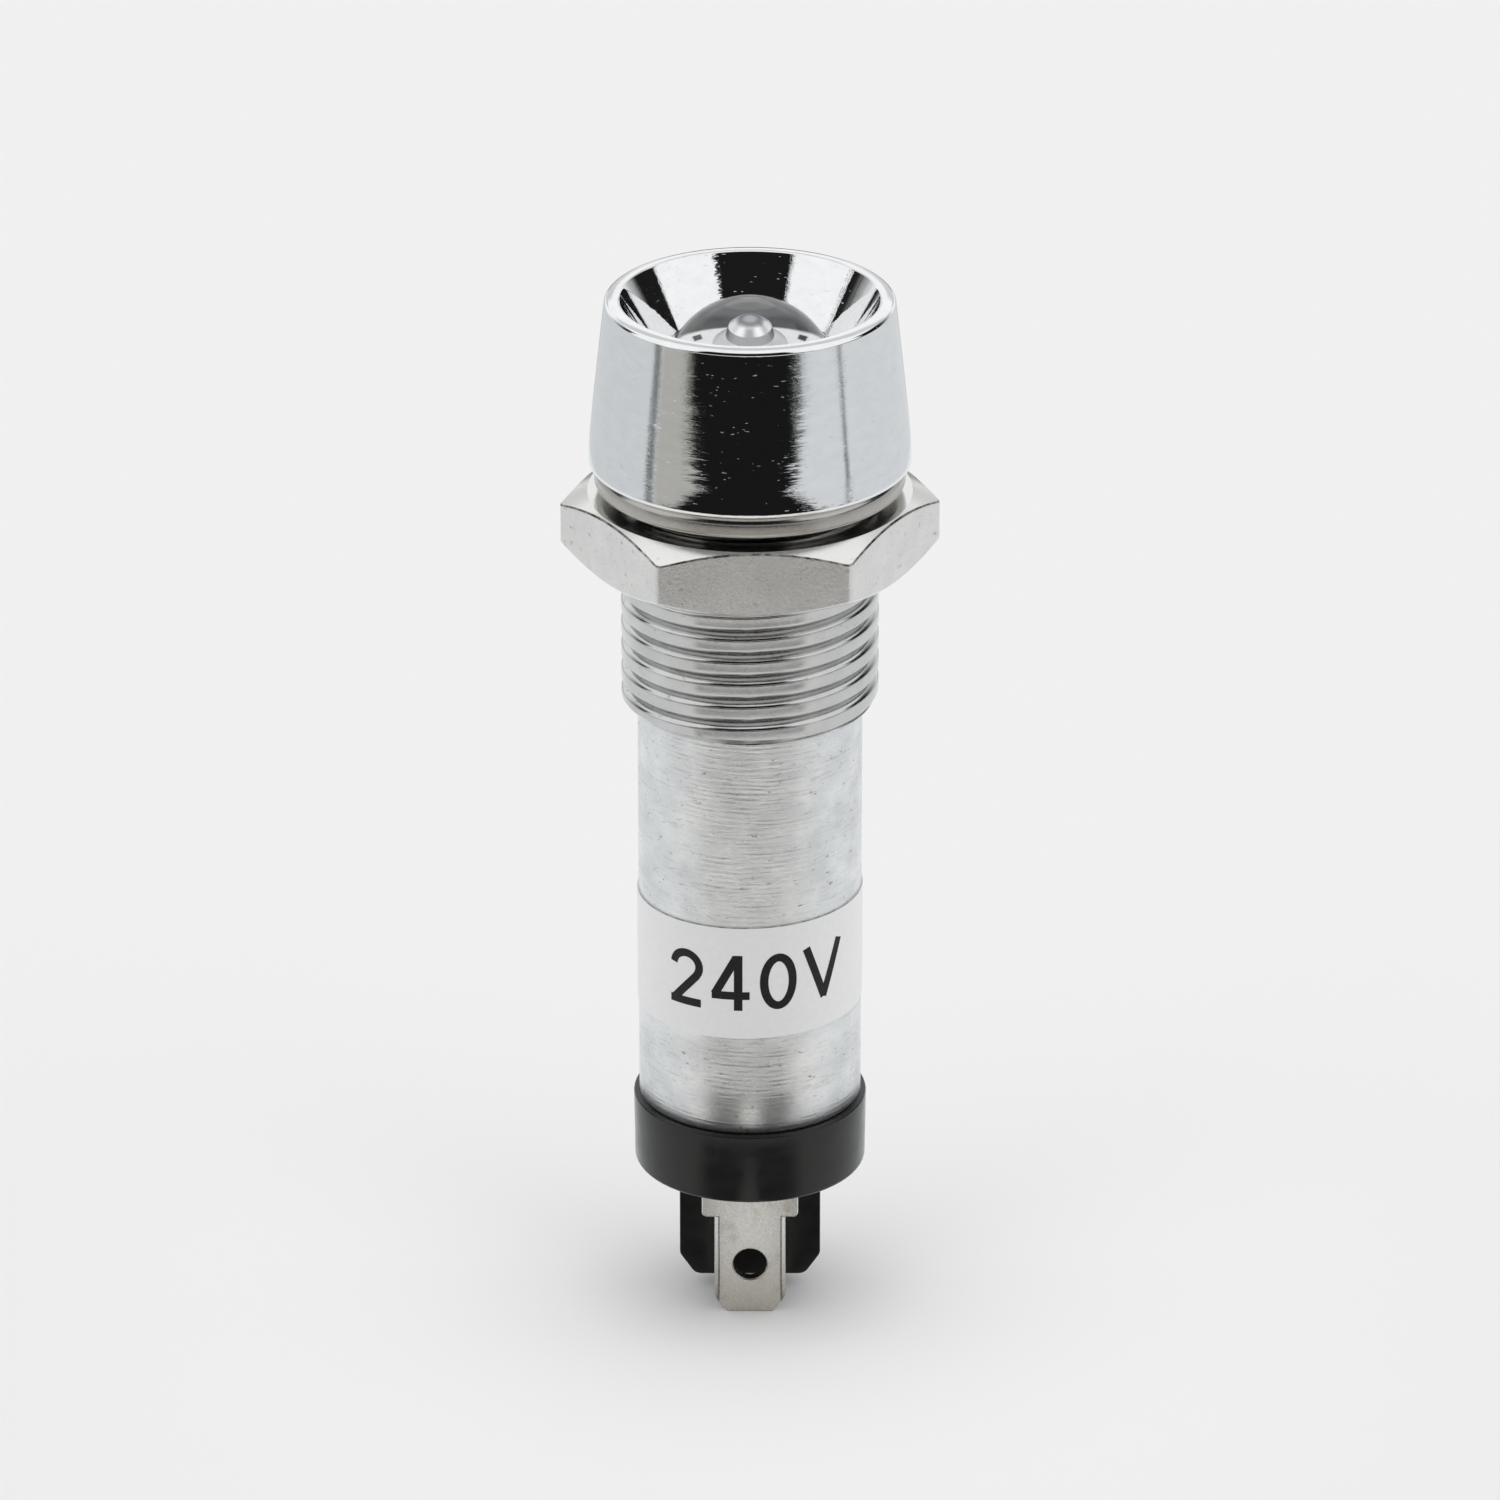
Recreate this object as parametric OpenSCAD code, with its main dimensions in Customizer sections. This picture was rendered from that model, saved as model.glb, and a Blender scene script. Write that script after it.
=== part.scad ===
// Panel pilot light: a chromed bezel with a reflector cone round a clear lens, on a threaded metal
// barrel with a lock washer and a hexagon nut, and a black base plug that holds two solder tabs.
// Millimetres. The origin is on the axis at the bezel's underside, where the panel seats. +Z points out
// of the panel towards the viewer, and the front tab lies towards -Y.

/* [Bezel and reflector] */
// Height of the rim above the panel
bezel_h = 6.56; // [6.2:0.02:9]
// Largest radius of the bezel, just above the panel
bezel_r = 6.25; // [6.1:0.05:8]
// Lean of the bezel's outer wall from the axis, in degrees
bezel_taper = 6.3; // [3:0.1:8]
// Height of the straight band at the bezel's foot
bezel_band_h = 0.42; // [0.2:0.02:0.8]
// Radius of the bezel's foot edge
foot_round = 0.1; // [0.05:0.01:0.2]
// Radius of the rim's outer edge
rim_round = 0.22; // [0.1:0.01:0.3]
// Width of the flat rim between its edges
rim_w = 0.4; // [0.3:0.01:0.6]
// Depth of the reflector cone
cone_depth = 2.9; // [2.4:0.1:3.2]
// Length of the straight throat below the cone
throat_len = 0.75; // [0.5:0.05:1]
// How far the bezel's press bore stands out from the lens flange
press_lip = 0.48; // [0.3:0.02:0.6]

/* [Lens] */
// Radius of the lens dome
lens_r = 3.32; // [3.1:0.02:3.4]
// Depth of the dome's top below the rim
lens_drop = 0.1; // [0:0.02:0.5]
// Wall of the lens
lens_wall = 0.55; // [0.4:0.05:0.6]
// How far the lens flange stands out from the dome
lens_flange_w = 0.85; // [0.6:0.05:0.95]
// Thickness of the lens flange
lens_flange_t = 0.5; // [0.4:0.05:0.7]

/* [Lamp] */
// Diameter of the lamp's dome and body
lamp_d = 5; // [4.6:0.1:5.2]
// Length of the lamp from its top to its base
lamp_len = 8.7; // [8:0.1:9.5]
// How far the lamp's rim stands out from its body
lamp_rim_w = 0.4; // [0.2:0.05:0.5]
// Height of the lamp's rim
lamp_rim_h = 1; // [0.8:0.1:1.2]
// Side of the lamp's square leads
lamp_lead = 0.5; // [0.4:0.05:0.6]
// Distance between the lamp's leads
lamp_pitch = 2.54; // [2.4:0.02:2.6]
// Length of the lamp's trimmed leads
lamp_lead_len = 6.7; // [6:0.1:8]

/* [Thread and barrel] */
// Outer diameter of the thread
thread_d = 10; // [9.9:0.05:10.4]
// Pitch of the thread
thread_pitch = 0.94; // [0.75:0.01:1]
// Length from the panel face to the end of the full thread
thread_len = 9.75; // [9:0.05:14]
// Length of the chamfer at the thread's end
thread_chamfer = 0.31; // [0.2:0.01:0.4]
// Length of the plain collar under the bezel
collar_len = 0.5; // [0.3:0.05:1]
// Diameter of the barrel below the thread
barrel_d = 8.74; // [8.6:0.02:8.8]
// Length from the panel face to the end of the barrel
barrel_len = 26.9; // [26:0.1:36]
// Diameter of the barrel's bore
bore_d = 7.4; // [7.2:0.05:7.6]
// Step from the barrel's bore out to the lamp holder's seat
seat_step = 0.2; // [0.1:0.05:0.25]

/* [Washer and nut] */
// Outer diameter of the lock washer
washer_d = 12; // [11.6:0.1:13]
// Thickness of the lock washer
washer_t = 1; // [0.8:0.05:1.2]
// Radius of the washer's lower edges
washer_round = 0.26; // [0.1:0.02:0.3]
// Radius of the washer's upper outer edge
washer_crown = 0.44; // [0.2:0.02:0.48]
// Space between the washer and the nut at rest
nut_gap = 0.33; // [0.1:0.01:0.6]
// Width of the nut across its flats
nut_af = 12.76; // [12.4:0.02:15]
// Thickness of the nut
nut_t = 2.65; // [2.2:0.05:3.4]
// Slope of the nut's chamfer from its face, in degrees
nut_slope = 28; // [20:1:32]
// Angle that the nut's front flat is turned from the front, in degrees
nut_turned = 1.4; // [0:0.1:30]

/* [Label] */
// Width of the paper label
label_w = 4.78; // [4:0.02:6]
// Thickness of the label
label_t = 0.06; // [0.04:0.01:0.1]
// Distance from the barrel's end up to the label's lower edge
label_up = 4.19; // [2:0.01:8]
// Tilt of the label as stuck on, its right side higher, in degrees
label_tilt = 1.25; // [0:0.05:3]

/* [Base plug] */
// Height of the plug's ring below the barrel
ring_h = 2.95; // [2.4:0.05:4]
// How far the ring stands out from the barrel
ring_lip = 0.22; // [0.1:0.01:0.4]
// How much the ring narrows towards its lower edge
ring_draft = 0.04; // [0:0.01:0.1]
// Radius of the ring's lower edge
ring_round = 0.2; // [0.1:0.02:0.4]
// Length of the plug's spigot inside the barrel
spigot_len = 4.5; // [3.6:0.1:5]
// Width of the divider between the tabs
divider_w = 5.58; // [5:0.02:6.4]
// Thickness of the divider
divider_t = 1.3; // [0.8:0.1:1.8]
// How far the divider reaches below the ring
divider_drop = 5.05; // [4.4:0.05:5.4]
// Width of the cuts at the divider's lower corners
divider_cut_w = 0.62; // [0.4:0.02:0.8]
// Height of the cuts at the divider's lower corners
divider_cut_h = 0.9; // [0.6:0.02:1.2]

/* [Solder tabs] */
// Thickness of the tabs
tab_t = 0.5; // [0.4:0.05:0.6]
// Width of the tabs
tab_w = 2.82; // [2.4:0.02:3]
// How far the tabs reach below the ring
tab_drop = 5.68; // [5.6:0.02:8]
// Distance between the two tabs' centres
tab_pitch = 4.91; // [4.7:0.01:5]
// Width of the tabs' shoulders
shoulder_w = 3.8; // [3.4:0.02:3.9]
// How far the shoulders reach below the ring
shoulder_drop = 1.5; // [1.2:0.02:2]
// Diameter of the wire eye
eye_d = 1.34; // [1:0.02:1.5]
// Height of the eye's centre above the tab's tip
eye_up = 2.1; // [1.8:0.02:2.3]
// Width of the tab's tip
tip_w = 1.8; // [1.4:0.02:2]
// Height of the corner cuts at the tip
tip_h = 0.63; // [0.4:0.01:0.8]
// Width of the coined bevel along the tab's sides
coin = 0.16; // [0.08:0.01:0.2]
// Width of the tabs' inner tails
tail_w = 1.8; // [1.4:0.05:2]
// Length of the tails above the spigot
tail_len = 2.9; // [2.4:0.1:3.2]
// Depth of the wide part's end below the top of the spigot
tail_root = 1.6; // [1:0.1:2.2]

/* [Inner circuit] */
// Radius of the resistor's body
resistor_r = 1.15; // [1:0.05:1.2]
// Length of the resistor's body
resistor_len = 6.3; // [5.6:0.1:6.6]
// Radius of the diode's body
diode_r = 1.3; // [1.1:0.05:1.35]
// Length of the diode's body
diode_len = 5.2; // [4.6:0.1:6]
// Radius of the parts' round leads
wire_r = 0.3; // [0.25:0.01:0.32]
// Length of each soldered lap
lap_len = 1.4; // [1.2:0.05:1.6]
// Wall of the insulating tube
tube_wall = 0.3; // [0.2:0.02:0.34]
// Wall of the small sleeves on the lamp's leads
sleeve_wall = 0.16; // [0.1:0.02:0.2]

/* [Clearances] */
// Clearance all round where pieces fit but don't move
fit = 0.03; // [0.02:0.01:0.05]
// Radial clearance of the nut and the washer over the thread
running = 0.06; // [0.03:0.01:0.09]
// Space between the bezel and the washer below it
washer_gap = 0.02; // [0.01:0.01:0.05]

/* [Hidden] */
$fn = 96;
eps = 0.01;

// Bezel levels and radii, from the panel up
rim_outer_r = bezel_r - (bezel_h - rim_round - bezel_band_h) * tan(bezel_taper);
mouth_r = rim_outer_r - rim_round - rim_w;
mouth_round = 0.05;
throat_r = lens_r + fit;
throat_z = bezel_h - cone_depth;
shoulder_z = throat_z - throat_len;
neck_h = shoulder_z - lens_flange_t;

// Lens and lamp levels
lens_z = bezel_h - lens_drop - lens_r;
lens_flange_r = lens_r + lens_flange_w;
press_r = lens_flange_r + press_lip;
lens_inner_r = lens_r - lens_wall;
lamp_r = lamp_d / 2;
lamp_rim_r = lamp_r + lamp_rim_w;
lamp_headroom = 0.45;
lamp_top = lens_z + lens_inner_r - lamp_headroom;
lamp_base = lamp_top - lamp_len;
lead_y = lamp_pitch / 2;
lead_end = lamp_base - lamp_lead_len;
holder_skirt = 0.8;
holder_bottom = lamp_base - holder_skirt;

// Thread form with 60 degree flanks
thread_r = thread_d / 2;
thread_depth = 0.6134 * thread_pitch;
root_r = thread_r - thread_depth;
crest_flat = thread_pitch / 8;
flank = thread_depth * tan(30);
barrel_r = barrel_d / 2;
bore_r = bore_d / 2;
seat_r = bore_r + seat_step;
edge = 0.1;

// Washer and nut levels
washer_top = -washer_gap;
washer_bottom = washer_top - washer_t;
nut_top = washer_bottom - nut_gap;
nut_bottom = nut_top - nut_t;
run_r = thread_r + running;
nut_edge = 0.11;
nut_face_r = nut_af / 2 - nut_edge;
nut_corner_r = nut_af / 2 / cos(30);
nut_countersink = 0.35;

// Base plug and tab levels
ring_top_r = barrel_r + ring_lip;
ring_bottom = -barrel_len - ring_h;
label_low = label_up - barrel_len;
spigot_top = spigot_len - barrel_len;
spigot_r = bore_r - fit;
spigot_lead = 0.3;
tab_y = tab_pitch / 2;
tab_tip = ring_bottom - tab_drop;
shoulder_low = ring_bottom - shoulder_drop;
shoulder_top = spigot_top - tail_root;
tail_top = spigot_top + tail_len;
shoulder_round = 0.2;
divider_round = 0.45;

// Circuit places: each round lead lies along the inside of its tab's tail, and a lamp lead along it
wire_y = tab_y - tab_t / 2 - wire_r - fit;
lap_y = wire_y - wire_r - fit - lamp_lead / 2;
tube_r = bore_r - fit;
tube_in_r = tube_r - tube_wall;
tube_bottom = spigot_top + fit;
tube_cover = 1.1;
tube_top = lead_end + lap_len + tube_cover;
upper_lap = lead_end + lap_len;
lower_lap = tail_top - lap_len;
body_mid = (lead_end + tail_top) / 2;
upper_blob_r = lap_len * 0.46;
lower_blob_r = lap_len * 0.43;
sleeve_in_r = lamp_lead * 0.75;
sleeve_top = holder_bottom - 0.1;
sleeve_bottom = upper_lap + 0.4;

// Points along an arc about c, from angle a to angle b
function arc(c, r, a, b, n = 6) =
    [for (i = [0:n]) c + r * [cos(a + (b - a) * i / n), sin(a + (b - a) * i / n)]];

// The same points read backwards
function backwards(v) = [for (i = [len(v) - 1:-1:0]) v[i]];

// A closed outline from its right half, listed from the bottom up
function both_sides(half) = concat(half, [for (p = backwards(half)) [-p[0], p[1]]]);

// One turned ring of the given outline, radius first and height second
module turned(outline) {
    rotate_extrude() polygon(outline);
}

// A tube between two levels
module pipe(outer, inner, low, high) {
    turned([[inner, low], [outer, low], [outer, high], [inner, high]]);
}

// A plate of thickness t standing across the Y axis at y, its outline given in X and Z
module upright(outline, y, t) {
    translate([0, y + t / 2, 0]) rotate([90, 0, 0]) linear_extrude(t) polygon(outline);
}

// Chromed bezel: tapered outside, rounded rim, reflector cone, throat and press bore
module bezel() {
    rim_centre = [rim_outer_r - rim_round, bezel_h - rim_round];
    color([0.85, 0.87, 0.89]) turned(concat(
        [[press_r, 0]],
        arc([bezel_r - foot_round, foot_round], foot_round, -90, 0),
        [[bezel_r, bezel_band_h]],
        arc(rim_centre, rim_round, bezel_taper, 90, 10),
        arc([mouth_r + mouth_round, bezel_h - mouth_round], mouth_round, 90, 150, 4),
        [[throat_r, throat_z], [throat_r, shoulder_z], [press_r, shoulder_z]]));
}

// Clear lens: a hollow dome on a short skirt with a flange below the throat
module lens_dome() {
    color([0.8, 0.82, 0.84, 0.5]) turned(concat(
        [[lens_inner_r, neck_h], [lens_flange_r, neck_h], [lens_flange_r, shoulder_z],
            [lens_r, shoulder_z]],
        arc([0, lens_z], lens_r, 0, 90, 24),
        backwards(arc([0, lens_z], lens_inner_r, 0, 90, 20))));
}

// Moulded lamp body: dome, barrel and rim
module lamp_body() {
    color([0.9, 0.92, 0.94, 0.6]) turned(concat(
        [[0, lamp_base], [lamp_rim_r, lamp_base], [lamp_rim_r, lamp_base + lamp_rim_h],
            [lamp_r, lamp_base + lamp_rim_h]],
        arc([0, lamp_top - lamp_r], lamp_r, 0, 90, 20)));
}

// One square lead of the lamp on the given side, splayed below its sleeve to reach its lap
module lamp_lead_wire(side) {
    h = lamp_lead / 2;
    mirror([0, side < 0 ? 1 : 0, 0]) translate([-h, 0, 0]) rotate([90, 0, 90]) linear_extrude(lamp_lead)
        polygon([[lead_y - h, lamp_base], [lead_y - h, sleeve_bottom], [lap_y - h, upper_lap],
            [lap_y - h, lead_end], [lap_y + h, lead_end], [lap_y + h, upper_lap],
            [lead_y + h, sleeve_bottom], [lead_y + h, lamp_base]]);
}

module lamp_anode_lead() {
    color([0.78, 0.78, 0.76]) lamp_lead_wire(-1);
}

module lamp_cathode_lead() {
    color([0.78, 0.78, 0.76]) lamp_lead_wire(1);
}

// Bush that centres the lamp in the barrel and seats on the barrel's inner step
module lamp_holder() {
    rim_top = lamp_base + lamp_rim_h + fit;
    color([0.12, 0.12, 0.13]) turned([
        [lamp_rim_r + fit, holder_bottom], [seat_r - fit, holder_bottom], [seat_r - fit, neck_h - fit],
        [lamp_r + fit, neck_h - fit], [lamp_r + fit, rim_top], [lamp_rim_r + fit, rim_top]]);
}

// Small sleeve on one lead of the lamp
module lead_sleeve(side) {
    translate([0, side * lead_y, 0])
        pipe(sleeve_in_r + sleeve_wall, sleeve_in_r, sleeve_bottom, sleeve_top);
}

module anode_sleeve() {
    color([0.75, 0.12, 0.1]) lead_sleeve(-1);
}

module cathode_sleeve() {
    color([0.1, 0.1, 0.1]) lead_sleeve(1);
}

// Upper and lower round leads of an upright part whose body is len long
module part_leads(side, len) {
    translate([0, side * wire_y, body_mid + len / 2])
        cylinder(r = wire_r, h = upper_lap - body_mid - len / 2);
    translate([0, side * wire_y, lower_lap])
        cylinder(r = wire_r, h = body_mid - len / 2 - lower_lap);
}

// Resistor body with its swollen end caps
module resistor_body() {
    half = resistor_len / 2;
    cap_len = 1.3;
    waist_r = resistor_r * 0.84;
    ease = 0.3;
    color([0.78, 0.66, 0.48]) translate([0, -wire_y, body_mid]) turned([
        [0, -half], [resistor_r - ease, -half], [resistor_r, ease - half], [resistor_r, cap_len - half],
        [waist_r, cap_len + ease - half], [waist_r, half - cap_len - ease], [resistor_r, half - cap_len],
        [resistor_r, half - ease], [resistor_r - ease, half], [0, half]]);
}

module resistor_leads() {
    color([0.76, 0.76, 0.74]) part_leads(-1, resistor_len);
}

// Diode body, a plain moulded cylinder
module diode_body() {
    color([0.08, 0.08, 0.09]) translate([0, wire_y, body_mid - diode_len / 2])
        cylinder(r = diode_r, h = diode_len);
}

module diode_leads() {
    color([0.76, 0.76, 0.74]) part_leads(1, diode_len);
}

// Four blobs of solder: two where the lamp's leads lap the parts' leads, two on the tabs' tails
module solder_joints() {
    tail_face = tab_y - tab_t / 2;
    cut = 2 * lower_blob_r;
    color([0.7, 0.7, 0.7]) for (side = [-1, 1]) {
        difference() {
            translate([0, side * (lap_y + wire_y) / 2, (upper_lap + lead_end) / 2])
                sphere(r = upper_blob_r, $fn = 32);
            lamp_lead_wire(side);
            translate([0, side * wire_y, lead_end]) cylinder(r = wire_r, h = lap_len);
        }
        difference() {
            translate([0, side * wire_y, (tail_top + lower_lap) / 2]) sphere(r = lower_blob_r, $fn = 32);
            translate([0, side * wire_y, lower_lap]) cylinder(r = wire_r, h = lap_len);
            translate([-cut / 2, side * (tail_face + cut / 2) - cut / 2, lower_lap])
                cube([cut, cut, lap_len]);
        }
    }
}

// Insulating tube between the circuit and the metal barrel, standing on the base plug's spigot
module insulating_tube() {
    color([0.86, 0.84, 0.78]) pipe(tube_r, tube_in_r, tube_bottom, tube_top);
}

// Outline of the ridges of the thread, from the lowest one up
function ridges(count, z) = [for (i = [0:count - 1]) let (c = z + i * thread_pitch)
    each [[root_r, c - crest_flat / 2 - flank], [thread_r, c - crest_flat / 2],
        [thread_r, c + crest_flat / 2], [root_r, c + crest_flat / 2 + flank]]];

// Turned barrel: press neck, collar, ridged thread, smooth wall, bore and lamp seat
module barrel() {
    half_ridge = crest_flat / 2 + flank;
    lowest = crest_flat / 2 - thread_len;
    count = floor((thread_len - collar_len - half_ridge - crest_flat / 2) / thread_pitch) + 1;
    chamfer_r = thread_r - thread_chamfer;
    color([0.76, 0.78, 0.8]) turned(concat(
        [[bore_r, -barrel_len], [barrel_r - edge, -barrel_len], [barrel_r, edge - barrel_len],
            [barrel_r, -thread_len - thread_chamfer], [chamfer_r, -thread_len - thread_chamfer],
            [thread_r, -thread_len]],
        [for (p = ridges(count, lowest)) if (p[1] > -thread_len) p],
        [[root_r, -collar_len], [thread_r, -collar_len], [thread_r, 0], [press_r - fit, 0],
            [press_r - fit, neck_h], [seat_r, neck_h], [seat_r, holder_bottom], [bore_r, holder_bottom]]));
}

// Lock washer: a closed ring with rounded edges, the upper outer one the largest
module lock_washer() {
    outer = washer_d / 2;
    ease = washer_round / 2;
    crown = min(washer_crown, (outer - run_r) * 0.55);
    color([0.72, 0.71, 0.68]) turned(concat(
        [[run_r, washer_bottom + ease], [run_r + ease, washer_bottom]],
        arc([outer - washer_round, washer_bottom + washer_round], washer_round, -90, 0),
        arc([outer - crown, washer_top - crown], crown, 0, 90),
        [[run_r + ease, washer_top], [run_r, washer_top - ease]]));
}

// Hexagon nut with both faces chamfered and its bore countersunk
module hex_nut() {
    fall = (nut_corner_r - nut_face_r) * tan(nut_slope);
    color([0.7, 0.69, 0.66]) intersection() {
        translate([0, 0, nut_bottom]) rotate([0, 0, nut_turned])
            cylinder(r = nut_corner_r, h = nut_t, $fn = 6);
        turned([
            [run_r + nut_countersink, nut_bottom], [nut_face_r, nut_bottom],
            [nut_corner_r + eps, nut_bottom + fall], [nut_corner_r + eps, nut_top - fall],
            [nut_face_r, nut_top], [run_r + nut_countersink, nut_top], [run_r, nut_top - nut_countersink],
            [run_r, nut_bottom + nut_countersink]]);
    }
}

// Paper label wrapped round the barrel, a little askew
module rating_label() {
    reach = barrel_d * 2;
    color([0.93, 0.93, 0.94]) intersection() {
        pipe(barrel_r + label_t, barrel_r, label_low - label_w, label_low + 2 * label_w);
        translate([0, 0, label_low + label_w / 2]) rotate([0, -label_tilt, 0])
            translate([-reach / 2, -reach / 2, -label_w / 2]) cube([reach, reach, label_w]);
    }
}

// Outline of the divider, its lower corners cut at a slant and eased
function divider_outline() =
    let (w = divider_w / 2, low = ring_bottom - divider_drop, r = divider_round)
    let (slant = atan2(divider_cut_w, divider_cut_h))
    both_sides(concat(
        arc([w - divider_cut_w - r * tan((90 - slant) / 2), low + r], r, -90, -slant, 5),
        arc([w - r, low + divider_cut_h + r * tan(slant / 2)], r, -slant, 0, 4),
        [[w, ring_bottom + ring_h / 2]]));

// Black moulded plug: spigot, ring and divider, with a slot for each tab
module base_plug() {
    low_r = ring_top_r - ring_draft;
    bevel = 0.06;
    color([0.05, 0.05, 0.055]) difference() {
        union() {
            turned(concat(
                [[0, ring_bottom], [low_r - ring_round, ring_bottom]],
                arc([low_r - ring_round, ring_bottom + ring_round], ring_round, -90, 0),
                [[ring_top_r, -barrel_len - bevel], [ring_top_r - bevel, -barrel_len],
                    [spigot_r, -barrel_len], [spigot_r, spigot_top - spigot_lead],
                    [spigot_r - spigot_lead, spigot_top], [0, spigot_top]]));
            upright(divider_outline(), 0, divider_t);
        }
        for (side = [-1, 1]) translate([0, side * tab_y, 0]) {
            slot_t = tab_t + 2 * fit;
            translate([-shoulder_w / 2 - fit, -slot_t / 2, ring_bottom - eps])
                cube([shoulder_w + 2 * fit, slot_t, shoulder_top + fit - ring_bottom + eps]);
            translate([-tail_w / 2 - fit, -slot_t / 2, shoulder_top])
                cube([tail_w + 2 * fit, slot_t, spigot_top - shoulder_top + eps]);
        }
    }
}

// Outline of a tab below its shoulders
function blade_outline() = both_sides([[tip_w / 2, tab_tip], [tab_w / 2, tab_tip + tip_h],
    [tab_w / 2, shoulder_low + shoulder_round]]);

// Outline of a tab's shoulders and inner tail
function head_outline() = let (w = shoulder_w / 2, r = shoulder_round)
    both_sides(concat(
        [[tab_w / 2, shoulder_low]],
        arc([w - r, shoulder_low + r], r, -90, 0),
        [[w, shoulder_top], [tail_w / 2, shoulder_top], [tail_w / 2, tail_top]]));

// Stamped solder tab on the given side, with coined edges, an eye and an inner tail
module terminal(side) {
    bar = tab_w / 2;
    half_t = tab_t / 2;
    bevel = min(coin, tab_t * 0.4);
    color([0.74, 0.74, 0.7]) difference() {
        union() {
            upright(head_outline(), side * tab_y, tab_t);
            intersection() {
                upright(blade_outline(), side * tab_y, tab_t);
                translate([0, side * tab_y, tab_tip - eps]) linear_extrude(tab_drop) polygon([
                    [bar - bevel, -half_t], [bar, bevel - half_t], [bar, half_t - bevel],
                    [bar - bevel, half_t], [bevel - bar, half_t], [-bar, half_t - bevel],
                    [-bar, bevel - half_t], [bevel - bar, -half_t]]);
            }
        }
        translate([0, side * tab_y + tab_t, tab_tip + eye_up]) rotate([90, 0, 0])
            cylinder(d = eye_d, h = 2 * tab_t);
    }
}

module front_terminal() {
    terminal(-1);
}

module rear_terminal() {
    terminal(1);
}

bezel();
lens_dome();
lamp_body();
lamp_anode_lead();
lamp_cathode_lead();
lamp_holder();
anode_sleeve();
cathode_sleeve();
resistor_body();
resistor_leads();
diode_body();
diode_leads();
solder_joints();
insulating_tube();
barrel();
lock_washer();
hex_nut();
rating_label();
base_plug();
front_terminal();
rear_terminal();
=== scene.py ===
"""Panel pilot light: chromed bezel and lens, threaded barrel, nut, washer, label, base plug and tabs."""
import math

import bmesh
import bpy
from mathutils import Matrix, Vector


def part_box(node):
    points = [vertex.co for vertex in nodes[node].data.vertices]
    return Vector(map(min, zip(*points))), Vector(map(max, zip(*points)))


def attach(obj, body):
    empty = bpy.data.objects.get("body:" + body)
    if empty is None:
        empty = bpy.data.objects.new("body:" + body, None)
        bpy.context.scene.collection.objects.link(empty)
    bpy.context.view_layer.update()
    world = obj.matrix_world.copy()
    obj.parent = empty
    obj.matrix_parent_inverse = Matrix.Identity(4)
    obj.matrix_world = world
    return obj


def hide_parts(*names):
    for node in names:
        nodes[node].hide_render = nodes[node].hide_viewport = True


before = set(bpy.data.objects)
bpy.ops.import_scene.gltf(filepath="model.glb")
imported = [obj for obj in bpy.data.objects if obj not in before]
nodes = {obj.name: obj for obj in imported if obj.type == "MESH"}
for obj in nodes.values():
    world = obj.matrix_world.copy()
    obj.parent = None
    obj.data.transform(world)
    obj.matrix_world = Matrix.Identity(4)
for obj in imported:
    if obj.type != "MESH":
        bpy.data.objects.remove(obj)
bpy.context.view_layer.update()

MM = 0.001
TAU = 2 * math.pi


# Sizes, in millimetres, from the frame's own boxes


def high(node):
    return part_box(node)[1] / MM


def low(node):
    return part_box(node)[0] / MM


BEZEL_H = high("bezel").z
BEZEL_R = high("bezel").x
LENS_TOP = high("lens_dome").z
LENS_FLANGE_R = high("lens_dome").x
NECK_H = low("lens_dome").z
LAMP_RIM_R = high("lamp_body").x
LAMP_LOW = low("lamp_body").z
HOLDER_LOW = low("lamp_holder").z
THREAD_R = high("barrel").x
BARREL_END = low("barrel").z
WASHER_R = high("lock_washer").x
WASHER_TOP = high("lock_washer").z
WASHER_LOW = low("lock_washer").z
NUT_TOP = high("hex_nut").z
NUT_LOW = low("hex_nut").z
LABEL_R = high("rating_label").x
TIP_Z = low("front_terminal").z

# Sizes that the boxes don't give, as in the part's own source
BEZEL_TAPER = math.radians(6.3)
BEZEL_BAND = 0.42
RIM_ROUND = 0.22
RIM_W = 0.4
CONE_DEPTH = 2.9
THROAT_LEN = 0.75
PRESS_LIP = 0.48
LENS_R = 3.32
LAMP_R = 2.5
LAMP_RIM_H = 1.0
FIT = 0.03
PITCH = 0.94
THREAD_LEN = 9.75
THREAD_CHAMFER = 0.31
COLLAR = 0.5
BARREL_R = 4.37
BORE_R = 3.7
SEAT_R = BORE_R + 0.2
NUT_AF = 12.76
NUT_TURNED = math.radians(1.4)
NUT_SLOPE = math.radians(28)
RUN_R = 5.06
LABEL_W = 4.78
LABEL_TILT = math.radians(1.25)
LABEL_LOW = BARREL_END + 4.19

# Sizes of the scene's own detail
FOOT_ROUND = 0.05
FOOT_EASE = 1.15  # height at which the bezel's side has nearly its whole taper
FOOT_FIRST, FOOT_GAIN = 0.42, 0.54  # share of the taper at the foot, and what it gains up to there
RIM_CROWN = 0.02
MOUTH_ROUND = 0.05
PLATE_R = 2.76
PLATE_TOP = 3.3
CUP_SIDE = [(1.05, PLATE_TOP), (1.05, 4.17), (0.70, 4.52), (0.64, 4.84)]  # the cup's foot, cone and neck
CUP_TOP = 5.22
CUP_CROWN_R = 0.66
THREAD_START = -0.16  # as a share of a turn
CREST_W = 0.2  # from the middle of a crest to its eased shoulder
CREST_EASE = 0.24
RUNOUT, RUNOUT_DEPTH = 0.35, 0.5  # of the thread at the collar
TURNING_PITCH = 0.21
WASHER_CROWN = 0.44
WASHER_FOOT = 0.26
NUT_FACE_R = NUT_AF / 2 - 0.11  # where a face of the nut meets its conical chamfer
NUT_EASE = 0.055
NUT_CORNER_CUT = 0.06
COUNTERSINK = 0.35
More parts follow.
